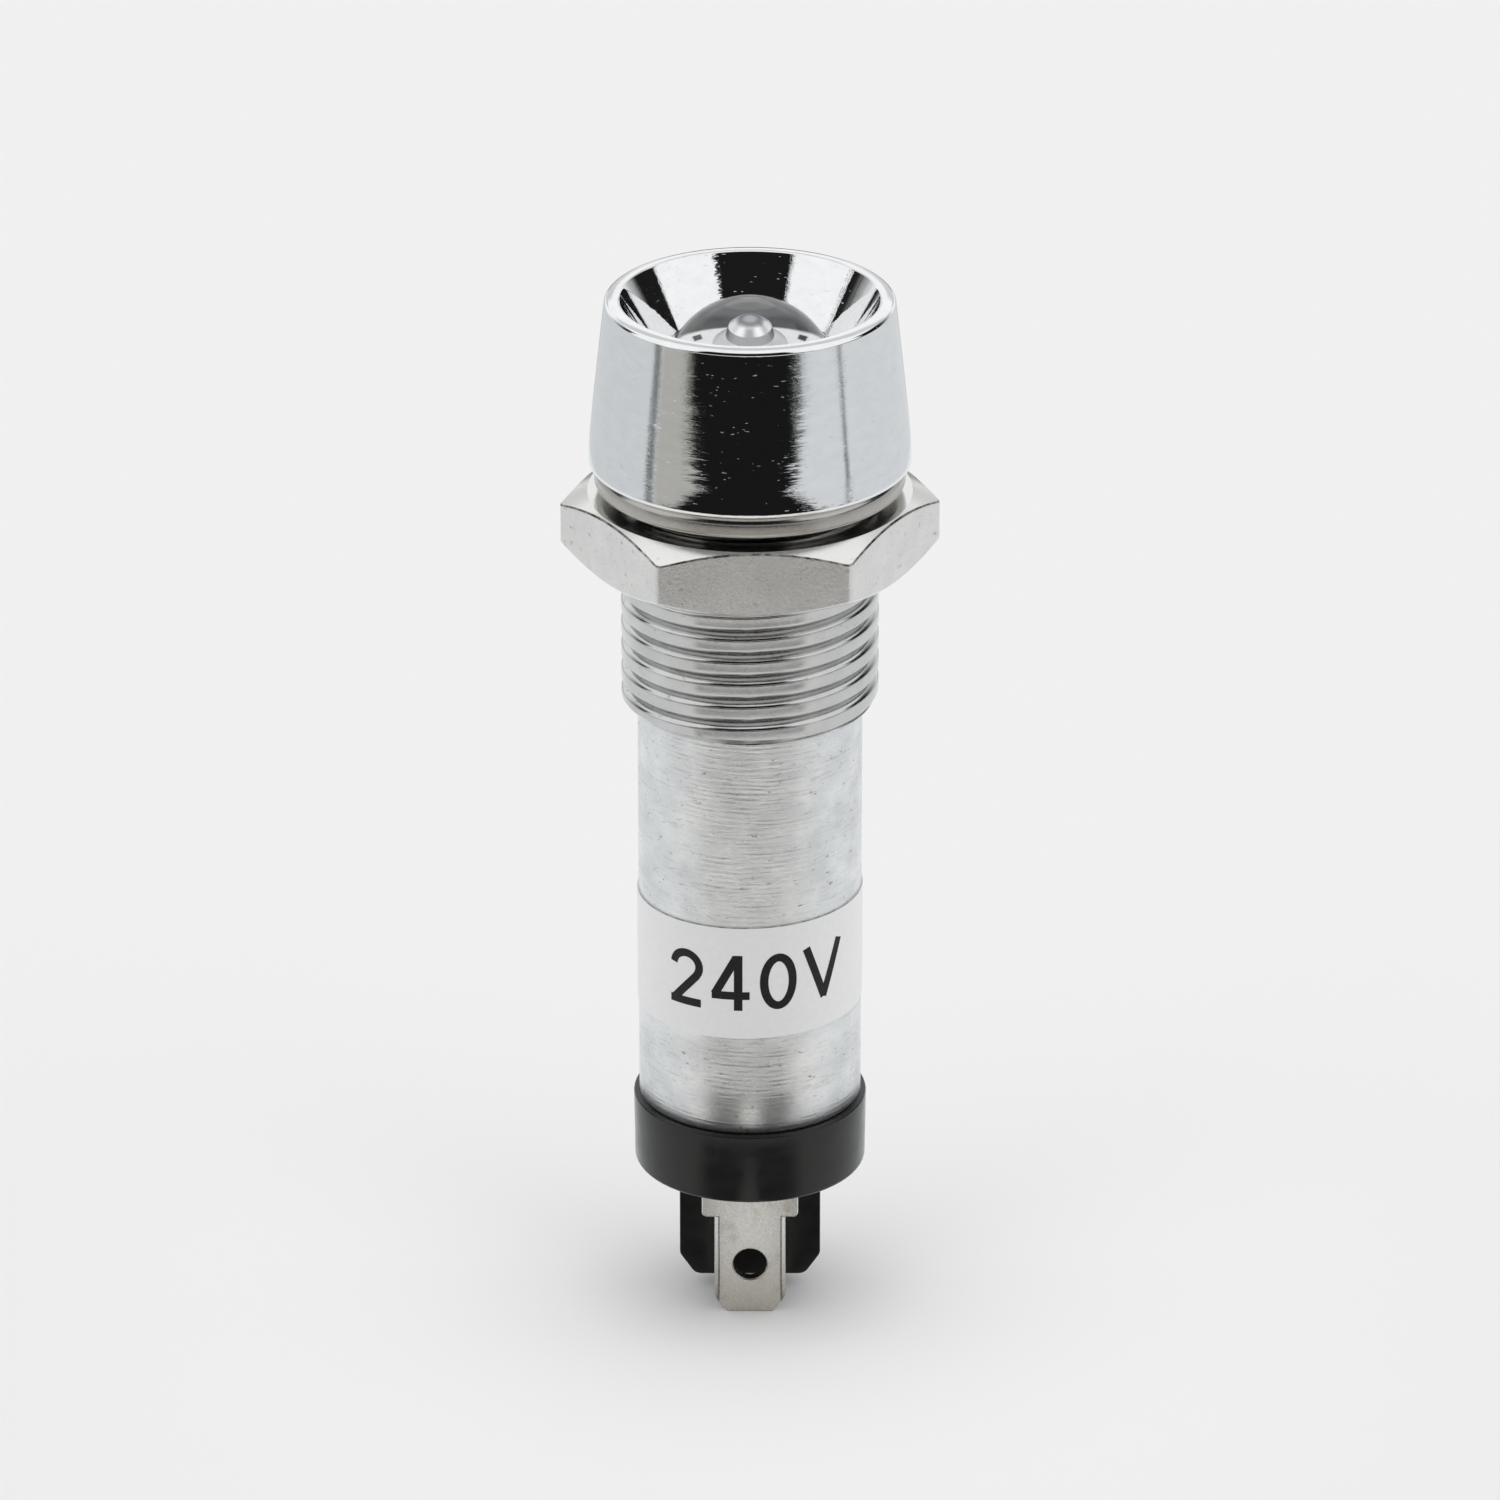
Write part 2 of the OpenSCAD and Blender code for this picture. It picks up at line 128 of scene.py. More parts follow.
LABEL_GAP = 0.004
LABEL_CUT = 0.012
LAP_RISE = 0.01
PLUG_EDGE = 0.09
TAB_EDGE = 0.055

# Camera, and how far to the left of the front mirrors see the middle of the dark room, in degrees
PITCH_DOWN = math.radians(24)
CAMERA_AWAY = 378.0
AIM_Z = -12.35
LENS_MM = 232.8
ROOM_LEFT = 4.0


# Mesh tools


def arc(cx, cz, r, a, b, n):
    """Points of an arc about (cx, cz), angles in degrees."""
    steps = [math.radians(a + (b - a) * i / n) for i in range(n + 1)]
    return [(cx + r * math.cos(t), cz + r * math.sin(t)) for t in steps]


def ring_point(r, turn, z):
    """The point at radius r and height z, a share turn of the way round from the front."""
    return (r * math.sin(TAU * turn), -r * math.cos(TAU * turn), z)


def object_from(name, verts, faces, body, replaced=(), sharp=35, weld=0.0):
    """A smooth-shaded piece in the row frame, from vertices in millimetres. Those within weld are joined."""
    mesh = bpy.data.meshes.new(name)
    mesh.from_pydata([tuple(MM * c for c in v) for v in verts], [], faces)
    work = bmesh.new()
    work.from_mesh(mesh)
    if weld:
        bmesh.ops.remove_doubles(work, verts=work.verts, dist=weld * MM)
    bmesh.ops.recalc_face_normals(work, faces=work.faces)
    work.to_mesh(mesh)
    work.free()
    mesh.shade_smooth()
    mesh.set_sharp_from_angle(angle=math.radians(sharp))
    piece = bpy.data.objects.new(name, mesh)
    bpy.context.scene.collection.objects.link(piece)
    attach(piece, body)
    if replaced:
        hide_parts(*replaced)
    return piece


def held(outline, near=0.03):
    """The closed outline with a point close to each end of every long straight run, so that smooth
    shading stays true along the run."""
    points = []
    for i, (r, z) in enumerate(outline):
        r2, z2 = outline[(i + 1) % len(outline)]
        points.append((r, z))
        run = math.hypot(r2 - r, z2 - z)
        if run > 6 * near:
            share = near / run
            points.append((r + (r2 - r) * share, z + (z2 - z) * share))
            points.append((r2 - (r2 - r) * share, z2 - (z2 - z) * share))
    return points


def turned(name, outline, body, replaced, segments, sharp=35):
    """A turned piece from a closed outline of (radius, height) points. A point on the axis is one vertex."""
    verts, rows = [], []
    for r, z in outline:
        if r < 1e-6:
            rows.append([len(verts)] * segments)
            verts.append((0, 0, z))
            continue
        rows.append(list(range(len(verts), len(verts) + segments)))
        verts += [ring_point(r, k / segments, z) for k in range(segments)]
    faces = []
    count = len(rows) if outline[0][0] > 1e-6 or outline[-1][0] > 1e-6 else len(rows) - 1
    for i in range(count):
        one, two = rows[i], rows[(i + 1) % len(rows)]
        for k in range(segments):
            corners = [one[k], one[(k + 1) % segments], two[(k + 1) % segments], two[k]]
            corners = [c for j, c in enumerate(corners) if c != corners[j - 1]]
            if len(corners) > 2:
                faces.append(corners)
    return object_from(name, verts, faces, body, replaced, sharp)


def eased_copy(name, node, width, body):
    """A copy of a CAD node with its flat faces joined up and its edges bevelled, in place of that node."""
    work = bmesh.new()
    work.from_mesh(nodes[node].data)
    bmesh.ops.remove_doubles(work, verts=work.verts, dist=0.0005 * MM)
    bmesh.ops.dissolve_limit(work, angle_limit=math.radians(0.5), verts=work.verts, edges=work.edges)
    mesh = bpy.data.meshes.new(name)
    work.to_mesh(mesh)
    work.free()
    piece = bpy.data.objects.new(name, mesh)
    bpy.context.scene.collection.objects.link(piece)
    bevel = piece.modifiers.new("edges", "BEVEL")
    bevel.width = width * MM
    bevel.segments = 3
    bevel.limit_method = "ANGLE"
    bevel.angle_limit = math.radians(28)
    bevel.harden_normals = False
    mesh.shade_smooth()
    mesh.set_sharp_from_angle(angle=math.radians(40))
    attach(piece, body)
    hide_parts(node)
    return piece


def put(piece, material):
    piece.data.materials.clear()
    piece.data.materials.append(material)


# Material tools


class Nodes:
    """Short calls for the nodes of a material or of the world."""

    def __init__(self, tree):
        self.tree = tree

    def add(self, kind, **values):
        """A node of that kind. Names with a capital are sockets, the others are settings."""
        made = self.tree.nodes.new("ShaderNode" + kind)
        for key, value in values.items():
            if key[0].isupper():
                self.feed(made.inputs[key.replace("_", " ")], value)
            else:
                setattr(made, key, value)
        return made

    def feed(self, socket, value):
        if isinstance(value, bpy.types.NodeSocket):
            self.tree.links.new(value, socket)
        else:
            socket.default_value = value

    def calc(self, operation, *values):
        made = self.add("Math", operation=operation)
        for i, value in enumerate(values):
            self.feed(made.inputs[i], value)
        return made.outputs[0]

    def chain(self, operation, first, *others):
        for other in others:
            first = self.calc(operation, first, other)
        return first

    def plus(self, *values):
        return self.chain("ADD", *values)

    def times(self, *values):
        return self.chain("MULTIPLY", *values)

    def most(self, *values):
        return self.chain("MAXIMUM", *values)

    def minus(self, a, b):
        return self.calc("SUBTRACT", a, b)

    def size(self, value):
        return self.calc("ABSOLUTE", value)

    def ramp(self, value, *stops):
        """A colour ramp over (place, colour) stops."""
        made = self.add("ValToRGB")
        self.feed(made.inputs[0], value)
        for element, (place, shade) in zip(made.color_ramp.elements, stops):
            element.position = place
            element.color = (*shade, 1)
        return made.outputs[0]

    def map(self, value, a, b, c=0.0, d=1.0, kind="SMOOTHSTEP"):
        """The value from a to b, carried over to c to d."""
        made = self.add("MapRange", interpolation_type=kind)
        for i, v in enumerate((value, a, b, c, d)):
            self.feed(made.inputs[i], v)
        return made.outputs[0]

    def between(self, value, a, b, c, d):
        """1 from b to c, fading to 0 at a and at d."""
        return self.times(self.map(value, a, b), self.map(value, c, d, 1.0, 0.0))

    def mix(self, factor, a, b):
        made = self.add("Mix", data_type="RGBA", blend_type="MIX")
        self.feed(made.inputs[0], factor)
        self.feed(made.inputs[6], (*a, 1) if isinstance(a, tuple) else a)
        self.feed(made.inputs[7], (*b, 1) if isinstance(b, tuple) else b)
        return made.outputs[2]

    def place(self, x=1.0, y=1.0, z=1.0):
        """Object coordinates in millimetres, stretched along the axes."""
        coords = self.add("TexCoord").outputs["Object"]
        return self.add("Mapping", Vector=coords, Scale=(x / MM, y / MM, z / MM)).outputs[0]

    def split(self, vector):
        return self.add("SeparateXYZ", Vector=vector).outputs

    def noise(self, where, detail=3.0, rough=0.55):
        """Noise over a vector, or over the place in millimetres times three factors."""
        if isinstance(where, tuple):
            where = self.place(*where)
        made = self.add("TexNoise", Vector=where, Scale=1.0, Detail=detail, Roughness=rough)
        return made.outputs[0]

    def bump(self, height, depth):
        """A bump whose full height is depth millimetres."""
        return self.add("Bump", Strength=1.0, Distance=depth * MM, Height=height).outputs[0]

    def distance(self, x, y):
        """Distance from the axis."""
        return self.calc("SQRT", self.plus(self.times(x, x), self.times(y, y)))

    def bearing(self, x, y):
        """Signed bearing of a place or direction in degrees: 0 to the front, positive to the right."""
        return self.times(self.calc("ARCTAN2", x, self.times(y, -1.0)), 180 / math.pi)

    def ragged(self, along, turn, amount):
        """Uneven steps of up to amount along a line, different to the left and to the right."""
        side = self.map(turn, -1.0, 1.0, 0.0, 40.0)
        where = self.add("CombineXYZ", X=along, Y=side).outputs[0]
        return self.map(self.noise(where, 3.0, 0.7), 0.3, 0.7, -amount, amount, "LINEAR")


class Paint(Nodes):
    """A node material with one Principled shader."""

    def __init__(self, name):
        self.mat = bpy.data.materials.new(name)
        self.mat.use_nodes = True
        super().__init__(self.mat.node_tree)
        self.bsdf = self.tree.nodes["Principled BSDF"]

    def set(self, **values):
        for key, value in values.items():
            socket = self.bsdf.inputs[key.replace("_", " ")]
            self.feed(socket, value)
        return self.mat


def grey(level):
    return (level, level, level)


def speckle(p, tone, amount, where, colour=(0.30, 0.25, 0.20)):
    """Small brownish pits over a tone, drawn out a little round the part."""
    pits = p.noise(where, 5.0, 0.68)
    return p.mix(p.map(pits, 0.60, 0.72, 0.0, amount), tone, colour)


# Materials


def chrome():
    """Mirror chrome over fine turning rings, which fray the edges of what it mirrors into streaks."""
    p = Paint("chrome")
    rings = p.noise((0.30, 0.30, 3.2), 2.0, 0.6)
    streaks = p.noise((1.6, 1.6, 7.0), 2.0, 0.5)
    swell = p.noise((0.5, 0.5, 0.9), 2.0)
    nicks = p.map(p.noise((2.6, 2.6, 15.0), 2.0, 0.5), 0.715, 0.78)
    height = p.plus(p.times(rings, 0.8), p.times(streaks, 0.5), p.times(swell, 2.2), p.times(nicks, 1.4))
    haze = p.noise((1.2, 1.2, 3.0), 4.0)
    tone = p.ramp(haze, (0.3, (0.81, 0.82, 0.83)), (0.7, (0.87, 0.88, 0.89)))
    tone = speckle(p, tone, 0.35, (2.0, 2.0, 5.0), (0.50, 0.49, 0.47))
    rough = p.map(haze, 0.35, 0.7, 0.016, 0.035)
    return p.set(Base_Color=tone, Metallic=1.0, Roughness=rough, Normal=p.bump(height, 0.0022))


def barrel_plating():
    """Bright plating: shiny on the thread, matt with broken turning lines and pits on the wall below it."""
    p = Paint("plated_barrel")
    z = p.split(p.place())[2]
    wall = p.map(p.times(z, -1.0), THREAD_LEN + 0.15, THREAD_LEN + 0.40)
    cloud = p.noise((0.7, 0.7, 0.8), 4.0)
    fine = p.noise((6.0, 6.0, 10.0), 4.0, 0.7)
    turning = p.noise((0.10, 0.10, 4.6), 3.0, 0.75)
    broken = p.noise((1.1, 1.1, 5.0), 4.0, 0.7)
    wander = p.times(p.noise((0.25, 0.25, 0.9), 2.0), 14.0)
    groove = p.calc("SINE", p.plus(p.times(z, TAU / TURNING_PITCH), wander))
    groove = p.times(groove, p.map(broken, 0.42, 0.62))
    matt = p.ramp(cloud, (0.32, (0.64, 0.66, 0.675)), (0.68, (0.80, 0.815, 0.82)))
    matt = speckle(p, matt, 0.95, (2.4, 2.4, 5.2))
    matt = speckle(p, matt, 0.6, (5.0, 5.0, 9.0), (0.38, 0.33, 0.28))
    matt = p.mix(p.map(p.times(broken, turning), 0.30, 0.42, 0.0, 0.3), matt, (0.45, 0.40, 0.35))
    matt = p.mix(p.map(groove, -0.3, -0.9, 0.0, 0.22), matt, (0.45, 0.41, 0.37))
    shiny = p.ramp(cloud, (0.3, (0.53, 0.53, 0.53)), (0.7, (0.62, 0.625, 0.625)))
    shiny = speckle(p, shiny, 0.6, (1.8, 1.8, 4.0), (0.25, 0.22, 0.18))
    height = p.plus(turning, p.times(fine, 0.6), p.times(groove, 0.32))
    height = p.times(height, p.map(wall, 0.0, 1.0, 0.12, 1.0))
    rough = p.plus(p.map(wall, 0.0, 1.0, 0.12, 0.27), p.map(fine, 0.3, 0.75, 0.0, 0.08))
    return p.set(Base_Color=p.mix(wall, shiny, matt), Metallic=1.0, Roughness=rough,
                 Normal=p.bump(height, 0.009))


def nickel(name, tint, bright, smooth, satin, depth):
    """Nickel plating: polished on faces that look up or down, and satin with pits on upright faces."""
    p = Paint(name)
    facing = p.split(p.add("TexCoord").outputs["Normal"])[2]
    upright = p.map(p.size(facing), 0.05, 0.3, 1.0, 0.0)
    cloud = p.noise((0.9, 0.9, 0.9), 4.0)
    fine = p.noise((7.0, 7.0, 7.0), 4.0, 0.7)
    satin_tone = p.ramp(cloud, (0.3, tuple(c * 0.9 for c in tint)), (0.7, tint))
    tone = p.mix(upright, bright, satin_tone)
    tone = speckle(p, tone, p.map(upright, 0.0, 1.0, 0.15, 0.75), (2.2, 2.2, 3.0))
    tone = speckle(p, tone, p.map(upright, 0.0, 1.0, 0.05, 0.5), (5.0, 5.0, 6.5))
    rough = p.plus(p.map(upright, 0.0, 1.0, smooth, satin), p.map(fine, 0.3, 0.7, 0.0, 0.06))
    height = p.times(fine, p.map(upright, 0.0, 1.0, 0.2, 1.0))
    return p.set(Base_Color=tone, Metallic=1.0, Roughness=rough, Normal=p.bump(height, depth))


def painted_shade_edge():
    """The nut's upper eased edge, darkened with painted shade that noise breaks up."""
    p = Paint("painted_shade_edge")
    # Painted shade: the nut's upper edge goes near-black in noisy patches, standing in for the shade under
    # the washer
    thin = p.noise((2.5, 2.5, 2.5), 4.0, 0.7)
    tone = p.ramp(thin, (0.42, (0.10, 0.095, 0.085)), (0.62, (0.55, 0.54, 0.52)))
    return p.set(Base_Color=tone, Metallic=1.0, Roughness=0.35, Normal=p.bump(thin, 0.006))


def tab_tin():
    """Dull tin on the tabs with a fine grain and brown smudges, paler at the top and darker and browner
    towards the tip as painted shade near the floor.
    """
    p = Paint("tab_metal")
    z = p.split(p.place())[2]
    cloud = p.noise((1.1, 1.1, 0.8), 4.0)
    fine = p.noise((7.0, 7.0, 5.0), 4.0, 0.7)
    # Painted shade: the tin darkens and warms from the top of the tab towards its tip near the floor
    tone = p.mix(p.map(z, TIP_Z + 4.2, TIP_Z + 0.4), (0.75, 0.75, 0.735), (0.53, 0.515, 0.485))
    tone = p.mix(p.map(cloud, 0.52, 0.72, 0.0, 0.45), tone, (0.46, 0.41, 0.35))
    tone = speckle(p, tone, 0.5, (2.4, 2.4, 2.4))
    rough = p.map(fine, 0.3, 0.7, 0.24, 0.32)
    return p.set(Base_Color=tone, Metallic=1.0, Roughness=rough, Normal=p.bump(fine, 0.004))


def black_plastic():
    """Moulded black plastic, satin, with a fine mould texture and paler rubbed spots."""
    p = Paint("black_plastic")
    fine = p.noise((8.0, 8.0, 8.0), 4.0, 0.6)
    rub = p.noise((0.8, 0.8, 1.6), 4.0)
    tone = p.ramp(rub, (0.35, (0.006, 0.006, 0.0062)), (0.75, (0.011, 0.011, 0.0115)))
    rough = p.map(rub, 0.3, 0.7, 0.14, 0.24)
    return p.set(Base_Color=tone, Roughness=rough, Specular_IOR_Level=0.38, Normal=p.bump(fine, 0.003))


def paper():
    """Coated off-white label paper with a faint fibre and greyer clouds."""
    p = Paint("paper")
    fibre = p.noise((5.0, 5.0, 5.0), 5.0, 0.7)
    cloud = p.noise((0.5, 0.5, 0.8), 3.0)
    tone = p.ramp(fibre, (0.25, (0.80, 0.80, 0.81)), (0.75, (0.86, 0.86, 0.865)))
    tone = p.mix(p.map(cloud, 0.4, 0.8, 0.0, 0.25), tone, (0.78, 0.79, 0.82))
    return p.set(Base_Color=tone, Roughness=0.5, Normal=p.bump(fibre, 0.002))


def paper_edge():
    """The label's cut edge, greyed by glue and dust."""
    p = Paint("paper_edge")
    dust = p.noise((3.0, 3.0, 3.0), 4.0)
    tone = p.ramp(dust, (0.35, (0.20, 0.20, 0.205)), (0.65, (0.42, 0.42, 0.425)))
    return p.set(Base_Color=tone, Roughness=0.6)


def ink():
    """Matt black printing ink, a little uneven."""
    p = Paint("ink")
    grain = p.noise((12.0, 12.0, 12.0), 3.0)
    tone = p.ramp(grain, (0.3, (0.010, 0.0097, 0.0094)), (0.8, (0.022, 0.0215, 0.021)))
    return p.set(Base_Color=tone, Roughness=0.5, Specular_IOR_Level=0.2)


def lamp_reflector():
    """The lamp's silvered plate with four small notches at its edge, in a dark surround with a fine line."""
    p = Paint("lamp_reflector")
    x, y = p.split(p.place())[:2]
    r = p.distance(x, y)
    fine = p.noise((5.0, 5.0, 5.0), 3.0)
    surround = p.mix(p.map(r, 2.36, 2.46), (0.045, 0.045, 0.05), (0.24, 0.25, 0.27))
    surround = p.mix(p.between(r, 2.49, 2.51, 2.53, 2.55), surround, (0.42, 0.42, 0.41))
    plate = p.ramp(fine, (0.3, (0.94, 0.945, 0.95)), (0.7, (0.98, 0.98, 0.98)))
    notch = p.times(p.between(p.size(x), 0.89, 0.93, 1.06, 1.10), p.between(r, 1.97, 2.0, 2.09, 2.12))
    plate = p.mix(notch, plate, (0.08, 0.08, 0.085))
    inside = p.map(r, 2.15, 2.21, 1.0, 0.0)
    return p.set(Base_Color=p.mix(inside, surround, plate), Metallic=inside, Roughness=0.35)


def lamp_cup():
    """The chip's mount on the plate: a pale foot, a silvered neck and a grey crown with a painted highlight
    in its middle.
    """
    p = Paint("lamp_cup")
    x, y, z = p.split(p.place())
    crown = p.map(z, CUP_TOP - 0.2, CUP_TOP - 0.06)
    fine = p.noise((5.0, 5.0, 5.0), 3.0)
    tone = p.ramp(fine, (0.3, (0.25, 0.27, 0.29)), (0.7, (0.31, 0.33, 0.35)))
    # Painted highlight: the crown turns pale towards its middle
    tone = p.mix(p.map(p.distance(x, y), 0.30, 0.12, 0.0, 0.6), tone, grey(0.85))
    metal = p.times(p.map(crown, 0.0, 1.0, 1.0, 0.4), p.map(z, 4.3, 4.8, 0.2, 1.0))
    return p.set(Base_Color=p.mix(crown, grey(0.97), tone), Metallic=metal, Roughness=0.35)


def lens_glass():
    """Clear plastic, with a hardly visible flow in its tint and surface."""
    p = Paint("lens_glass")
    flow = p.noise((0.8, 0.8, 0.8), 2.0)
    tone = p.ramp(flow, (0.3, (0.97, 0.98, 0.99)), (0.7, (0.9894, 0.9996, 1.0)))
    return p.set(Base_Color=tone, Roughness=0.0, IOR=1.49, Transmission_Weight=1.0,
                 Normal=p.bump(flow, 0.002))


def quiet(name, tint, rough, metal=0.0):
    """A plain finish with a fine grain, for the pieces inside the barrel."""
    p = Paint(name)
    grain = p.noise((4.0, 4.0, 4.0), 4.0)
    tone = p.ramp(grain, (0.3, tuple(c * 0.88 for c in tint)), (0.7, tint))
    return p.set(Base_Color=tone, Roughness=rough, Metallic=metal, Normal=p.bump(grain, 0.004))


# Pieces


def make_bezel(material):
    """The bezel: a foot that eases into the taper, a crowned rim, the reflector cone, throat and bore."""
    rim_r = BEZEL_R - (BEZEL_H - RIM_ROUND - BEZEL_BAND) * math.tan(BEZEL_TAPER)
    mouth_r = rim_r - RIM_ROUND - RIM_W
    throat_r, throat_z = LENS_R + FIT, BEZEL_H - CONE_DEPTH
    shoulder_z = throat_z - THROAT_LEN
    bore_r = LENS_FLANGE_R + PRESS_LIP
    top = BEZEL_H - RIM_CROWN
    outline = [(bore_r, 0.0)]
    outline += arc(BEZEL_R - FOOT_ROUND, FOOT_ROUND, FOOT_ROUND, -90, 0, 6)
    steps = 8
    rise = (FOOT_EASE - FOOT_ROUND) / steps
    for i in range(1, steps + 1):
        slope = math.tan(BEZEL_TAPER * (FOOT_FIRST + FOOT_GAIN * (i - 0.5) / steps))
        r, z = outline[-1]
        outline.append((r - rise * slope, z + rise))
    outline += arc(rim_r - RIM_ROUND, top - RIM_ROUND, RIM_ROUND, math.degrees(BEZEL_TAPER), 80, 12)
    outline += [(mouth_r + RIM_W * (1 - i / 8), top + RIM_CROWN * (1 - (i / 4 - 1) ** 2))
                for i in range(1, 8)]
    outline += arc(mouth_r + MOUTH_ROUND, top - MOUTH_ROUND, MOUTH_ROUND, 100, 151, 5)
    outline += [(throat_r, throat_z), (throat_r, shoulder_z), (bore_r, shoulder_z)]
    put(turned("bezel_shell", held(outline), "lamp_unit", ["bezel"], 360, 24), material)


def make_lens(glass, plate, cup):
    """The clear cap, potted over the lamp, and what shows through it: the lamp's plate and its cup. The
    lamp's own clear dome can't be seen inside the potting, so it isn't drawn."""
    lens_z = LENS_TOP - LENS_R
    shoulder_z = BEZEL_H - CONE_DEPTH - THROAT_LEN
    outline = [(0.0, NECK_H), (LENS_FLANGE_R, NECK_H), (LENS_FLANGE_R, shoulder_z), (LENS_R, shoulder_z)]
    outline += arc(0, lens_z, LENS_R, 0, 90, 40)[:-1] + [(0.0, LENS_TOP)]
    put(turned("lens_cap", outline, "lamp_unit", ["lens_dome"], 128, 30), glass)
    rim_top, lip_low = LAMP_LOW + LAMP_RIM_H, NECK_H + 0.1
    outline = [(0.0, LAMP_LOW), (LAMP_RIM_R, LAMP_LOW), (LAMP_RIM_R, rim_top), (LAMP_R, rim_top),
               (LAMP_R, lip_low), (PLATE_R, lip_low), (PLATE_R, PLATE_TOP), (0.0, PLATE_TOP)]
    put(turned("lamp_plate", outline, "lamp_unit", ["lamp_body"], 96, 30), plate)
    outline = [(0.0, PLATE_TOP)] + CUP_SIDE
    outline += arc(0, CUP_TOP - CUP_CROWN_R, CUP_CROWN_R, 45, 87, 12) + [(0.0, CUP_TOP)]
    put(turned("lamp_cup", outline, "lamp_unit", (), 64, 30), cup)


def thread_radius(z, turn):
    """Radius of the threaded stretch at height z, a share turn of the way round: a right-hand helix with
    broad crests and eased shoulders, which runs out at the collar and ends in a chamfer."""
    share = (z / PITCH - turn - THREAD_START + 0.5) % 1.0
    off = abs(share - 0.5) * PITCH
    r = THREAD_R - 0.1 * off ** 2 - max(0.0, off - CREST_W) ** 2 / CREST_EASE
    if z > -COLLAR - RUNOUT:
        r = max(r, THREAD_R - max(0.0, -COLLAR - z) / RUNOUT * RUNOUT_DEPTH)
    if z < -THREAD_LEN:
        r = min(r, THREAD_R + THREAD_LEN + z)
    return r


def make_barrel(material):
    """The turned barrel: neck, collar, helical thread, smooth wall, end chamfer and bore. The thread's
    rows of vertices climb with the helix, so that its edges stay true."""
    segments, rungs = 240, 24
    step = PITCH / rungs
    neck_r = LENS_FLANGE_R + PRESS_LIP - FIT
    end = -THREAD_LEN - THREAD_CHAMFER
    count = math.ceil((-COLLAR - end) / step) + rungs
    above = [(BORE_R, HOLDER_LOW), (SEAT_R, HOLDER_LOW), (SEAT_R, NECK_H), (neck_r, NECK_H), (neck_r, 0.0),
             (THREAD_R - 0.05, 0.0), (THREAD_R, -0.05)]
    under = [(BARREL_R + 0.1, end - 0.002), (BARREL_R, end - 0.06)]
    under += [(BARREL_R, z) for z in (-13.0, -17.0, -21.0, -25.0)]
    under += [(BARREL_R, BARREL_END + 0.1), (BARREL_R - 0.1, BARREL_END), (BORE_R, BARREL_END)]
    verts = []
    for r, z in above:
        verts += [ring_point(r, k / segments, z) for k in range(segments)]
    for i in range(count + 1):
        for k in range(segments):
            z = min(max(-COLLAR - i * step + PITCH * k / segments, end), -COLLAR)
            verts.append(ring_point(thread_radius(z, k / segments), k / segments, z))
    for r, z in under:
        verts += [ring_point(r, k / segments, z) for k in range(segments)]
    rows, first = len(verts) // segments, len(above)
    faces = []
    for i in range(rows):
        j = (i + 1) % rows
        for k in range(segments - 1):
            faces.append((i * segments + k, i * segments + k + 1, j * segments + k + 1, j * segments + k))
        if first <= i < first + count:  # a helical row meets the one a whole turn above it
            one, two = max(first, i - rungs) * segments, max(first, j - rungs) * segments
        else:
            one, two = i * segments, j * segments
        corners = [i * segments + segments - 1, one, two, j * segments + segments - 1]
        faces.append([c for n, c in enumerate(corners) if c != corners[n - 1]])
    piece = object_from("threaded_barrel", verts, faces, "lamp_unit", ["barrel"],
                        sharp=55, weld=0.0008)
    put(piece, material)


def make_washer(material):
    """The ring under the bezel, with rounded edges, the upper outer one the largest."""
    crown, foot = WASHER_CROWN, WASHER_FOOT
    outline = [(RUN_R, WASHER_LOW + 0.1), (RUN_R + 0.1, WASHER_LOW)]
    outline += arc(WASHER_R - foot, WASHER_LOW + foot, foot, -90, 0, 8)
    outline += arc(WASHER_R - crown, WASHER_TOP - crown, crown, 0, 90, 14)
    outline += [(RUN_R + 0.1, WASHER_TOP), (RUN_R, WASHER_TOP - 0.1)]
    put(turned("washer_ring", outline, "washer", ["lock_washer"], 200), material)


